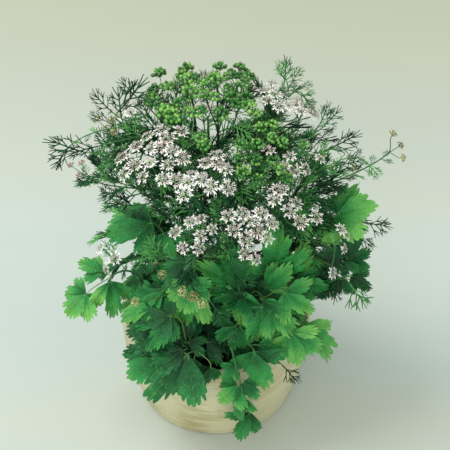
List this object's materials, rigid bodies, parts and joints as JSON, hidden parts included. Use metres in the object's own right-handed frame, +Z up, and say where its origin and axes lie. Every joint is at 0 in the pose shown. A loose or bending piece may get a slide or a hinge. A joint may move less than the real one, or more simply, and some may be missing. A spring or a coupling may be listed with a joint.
{
  "type": "potted coriander",
  "caption": "Coriander plant in flower and green fruit, with broad toothed leaves and fine feathery leaves, growing in soil in a plain round cream bowl pot.",
  "frame": {"origin": "centre of the pot's flat underside, on the surface it stands on", "axes": "+Z up along the pot's axis; -Y towards the front, where the leaves hang over the rim; +X to the right seen from the front"},
  "size_m": [0.3588, 0.2831, 0.3887],
  "materials": {
    "glazed_pot": "satin cream glaze with faint turning lines",
    "potting_soil": "dark moist crumbs",
    "broad_leaf": "satin leaf with paler veins",
    "stem_and_feathery_leaf": "smooth ribbed green stem",
    "green_fruit": "satin unripe fruit",
    "flower": "thin matt petals, white with a pink tint"
  },
  "bodies": {
    "root": {"broad_frond_back": "broad_leaf", "broad_frond_back_left": "broad_leaf", "broad_frond_back_right": "broad_leaf", "broad_frond_centre": "broad_leaf", "broad_frond_centre_high": "broad_leaf", "broad_frond_front_left": "broad_leaf", "broad_frond_front_low": "broad_leaf", "broad_frond_front_right": "broad_leaf", "broad_frond_hanging": "broad_leaf", "broad_frond_left_edge": "broad_leaf", "broad_frond_left_high": "broad_leaf", "broad_frond_left_low": "broad_leaf", "broad_frond_pale": "broad_leaf", "broad_frond_right_dark": "broad_leaf", "broad_frond_right_high": "broad_leaf", "broad_frond_right_low": "broad_leaf", "broad_frond_right_mid": "broad_leaf", "broad_frond_right_top": "broad_leaf", "flower_head_back": "flower", "flower_head_back_left": "flower", "flower_head_back_right": "flower", "flower_head_brown": "flower", "flower_head_bud_left": "flower", "flower_head_centre": "flower", "flower_head_faded": "flower", "flower_head_far_left": "flower", "flower_head_far_right": "flower", "flower_head_front": "flower", "flower_head_front_left": "flower", "flower_head_front_right": "flower", "flower_head_left": "flower", "flower_head_low_left": "flower", "flower_head_low_right": "flower", "flower_head_mid_left": "flower", "flower_head_outer_left": "flower", "flower_head_outer_right": "flower", "flower_head_right": "flower", "flower_head_top_right": "flower", "flowering_stem_1": "stem_and_feathery_leaf", "flowering_stem_2": "stem_and_feathery_leaf", "flowering_stem_3": "stem_and_feathery_leaf", "flowering_stem_4": "stem_and_feathery_leaf", "flowering_stem_5": "stem_and_feathery_leaf", "flowering_stem_6": "stem_and_feathery_leaf", "flowering_stem_7": "stem_and_feathery_leaf", "flowering_stem_8": "stem_and_feathery_leaf", "flowering_stem_9": "stem_and_feathery_leaf", "fruit_head_back": "green_fruit", "fruit_head_far_left": "green_fruit", "fruit_head_left": "green_fruit", "fruit_head_low_left": "green_fruit", "fruit_head_low_right": "green_fruit", "fruit_head_mid_left": "green_fruit", "fruit_head_middle": "green_fruit", "fruit_head_right": "green_fruit", "fruit_head_top": "green_fruit", "fruit_head_upper": "green_fruit", "pot": "glazed_pot", "potting_soil": "potting_soil"}
  },
  "joints": []
}
